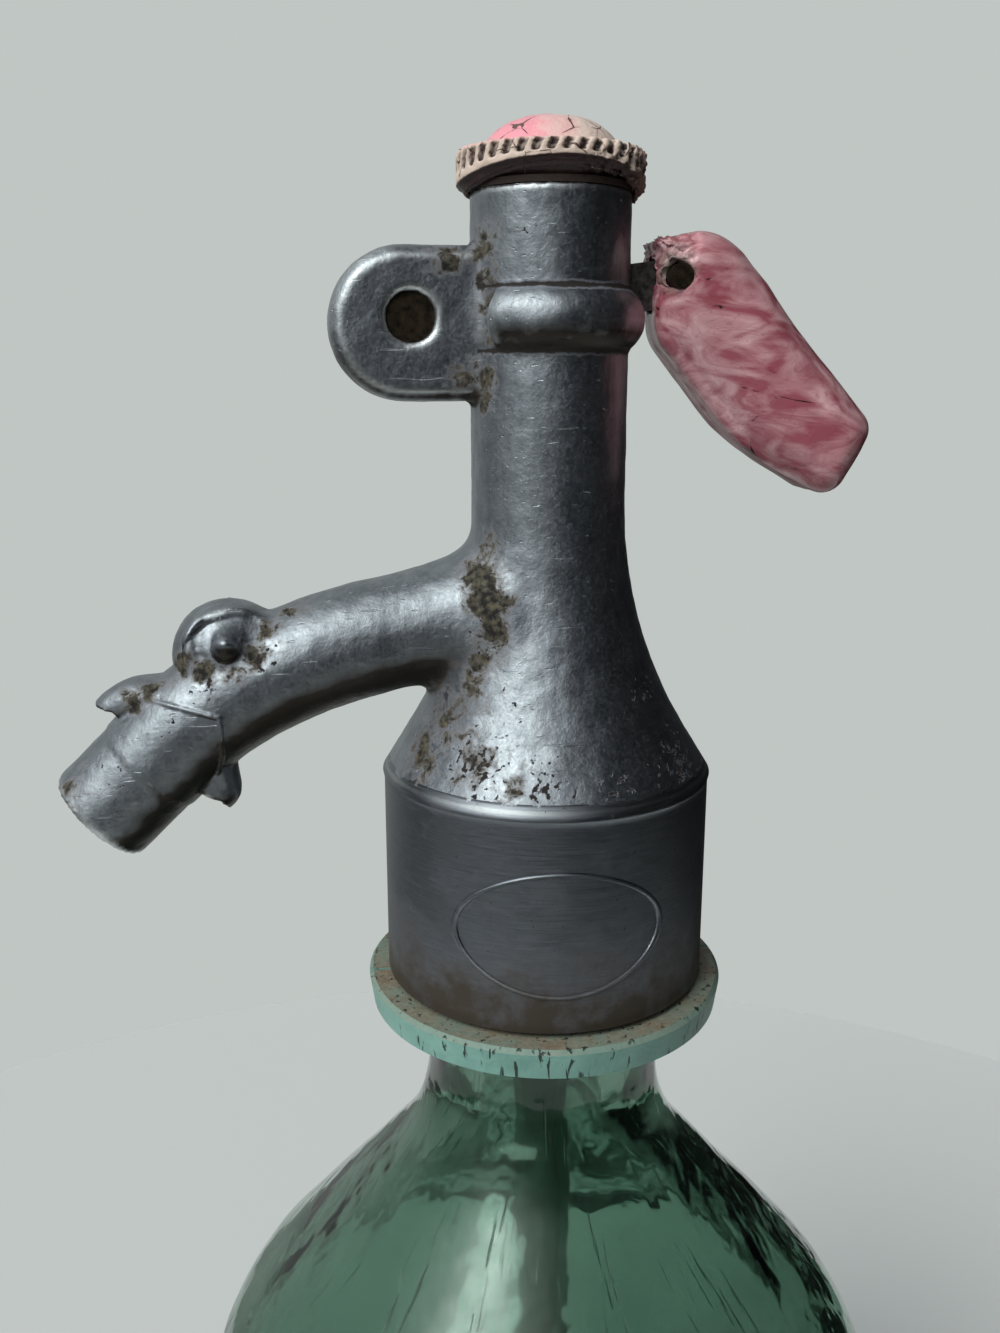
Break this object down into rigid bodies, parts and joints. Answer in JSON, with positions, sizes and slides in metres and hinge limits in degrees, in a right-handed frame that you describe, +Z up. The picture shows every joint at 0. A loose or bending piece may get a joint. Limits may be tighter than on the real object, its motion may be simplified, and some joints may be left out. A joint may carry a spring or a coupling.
{
  "type": "soda siphon",
  "caption": "Green glass soda siphon with a cast metal head, dolphin spout, sprung lever with a plastic grip, and a knurled screw cap.",
  "frame": {"origin": "centre of the bottle's foot, on the surface it stands on", "axes": "+Z up along the bottle's axis, the spout along -X, the grip along +X, the pivot pin along Y"},
  "size_m": [0.1176, 0.104, 0.3099],
  "materials": {
    "green_glass": "thick green bottle glass, uneven, with chill streaks",
    "clear_glass": "thin clear glass tube",
    "mint_plastic": "aged mint-green moulded plastic, cracked and dirty",
    "cream_plastic": "moulded cream plastic",
    "black_rubber": "matt vulcanised rubber",
    "cast_aluminium": "sand-cast, pitted and dull, collar turned satin",
    "brass": "turned brass",
    "dark_brass": "tarnished brass",
    "spring_steel": "bright drawn wire",
    "lever_steel": "stamped flat steel, dull plated",
    "marbled_plastic": "pink marbled pressed plastic with cream and red swirls",
    "cap_plastic": "pink and beige pressed plastic, worn cream rim",
    "fibre": "hard vulcanised fibre"
  },
  "bodies": {
    "siphon": {"bottle": "green_glass", "neck_ring_front": "mint_plastic", "neck_ring_back": "mint_plastic", "lip_gasket": "black_rubber", "head_gasket": "black_rubber", "tube_holder": "cream_plastic", "tube_seal": "black_rubber", "dip_tube": "clear_glass", "head_body": "cast_aluminium", "packing_ring": "black_rubber", "packing_washer": "brass", "return_spring": "spring_steel", "lever_pin": "dark_brass"},
    "lever": {"lever_arm": "lever_steel", "grip": "marbled_plastic", "grip_pin": "dark_brass"},
    "valve": {"valve_spindle": "brass", "valve_rubber": "black_rubber", "valve_cup": "brass", "valve_nut": "brass"},
    "cap_seal": {"cap_washer": "fibre"},
    "cap": {"screw_cap": "cap_plastic"}
  },
  "joints": [
    {"name": "lever_press", "type": "hinge", "parent": "siphon", "child": "lever", "pos_m": [-0.0182, 0, 0.2859], "axis": [0, 1, 0], "range_deg": [0, 11], "stiffness_Nm_per_rad": 0.66, "springref_deg": -12.61},
    {"name": "valve_slide", "type": "slide", "parent": "siphon", "child": "valve", "axis": [0, 0, -1], "range_m": [0, 0.0035], "deforming": ["return_spring"]},
    {"name": "cap_lift", "type": "slide", "parent": "siphon", "child": "cap_seal", "axis": [0, 0, 1], "range_m": [0, 0.0053]},
    {"name": "cap_turn", "type": "hinge", "parent": "cap_seal", "child": "cap", "pos_m": [0, 0, 0.3019], "axis": [0, 0, 1], "range_deg": [0, 1260]}
  ],
  "couplings": [
    {"joint": "valve_slide", "follows": "lever_press", "m_per_rad": 0.0182},
    {"joint": "cap_lift", "follows": "cap_turn", "m_per_rad": 0.00023873}
  ]
}
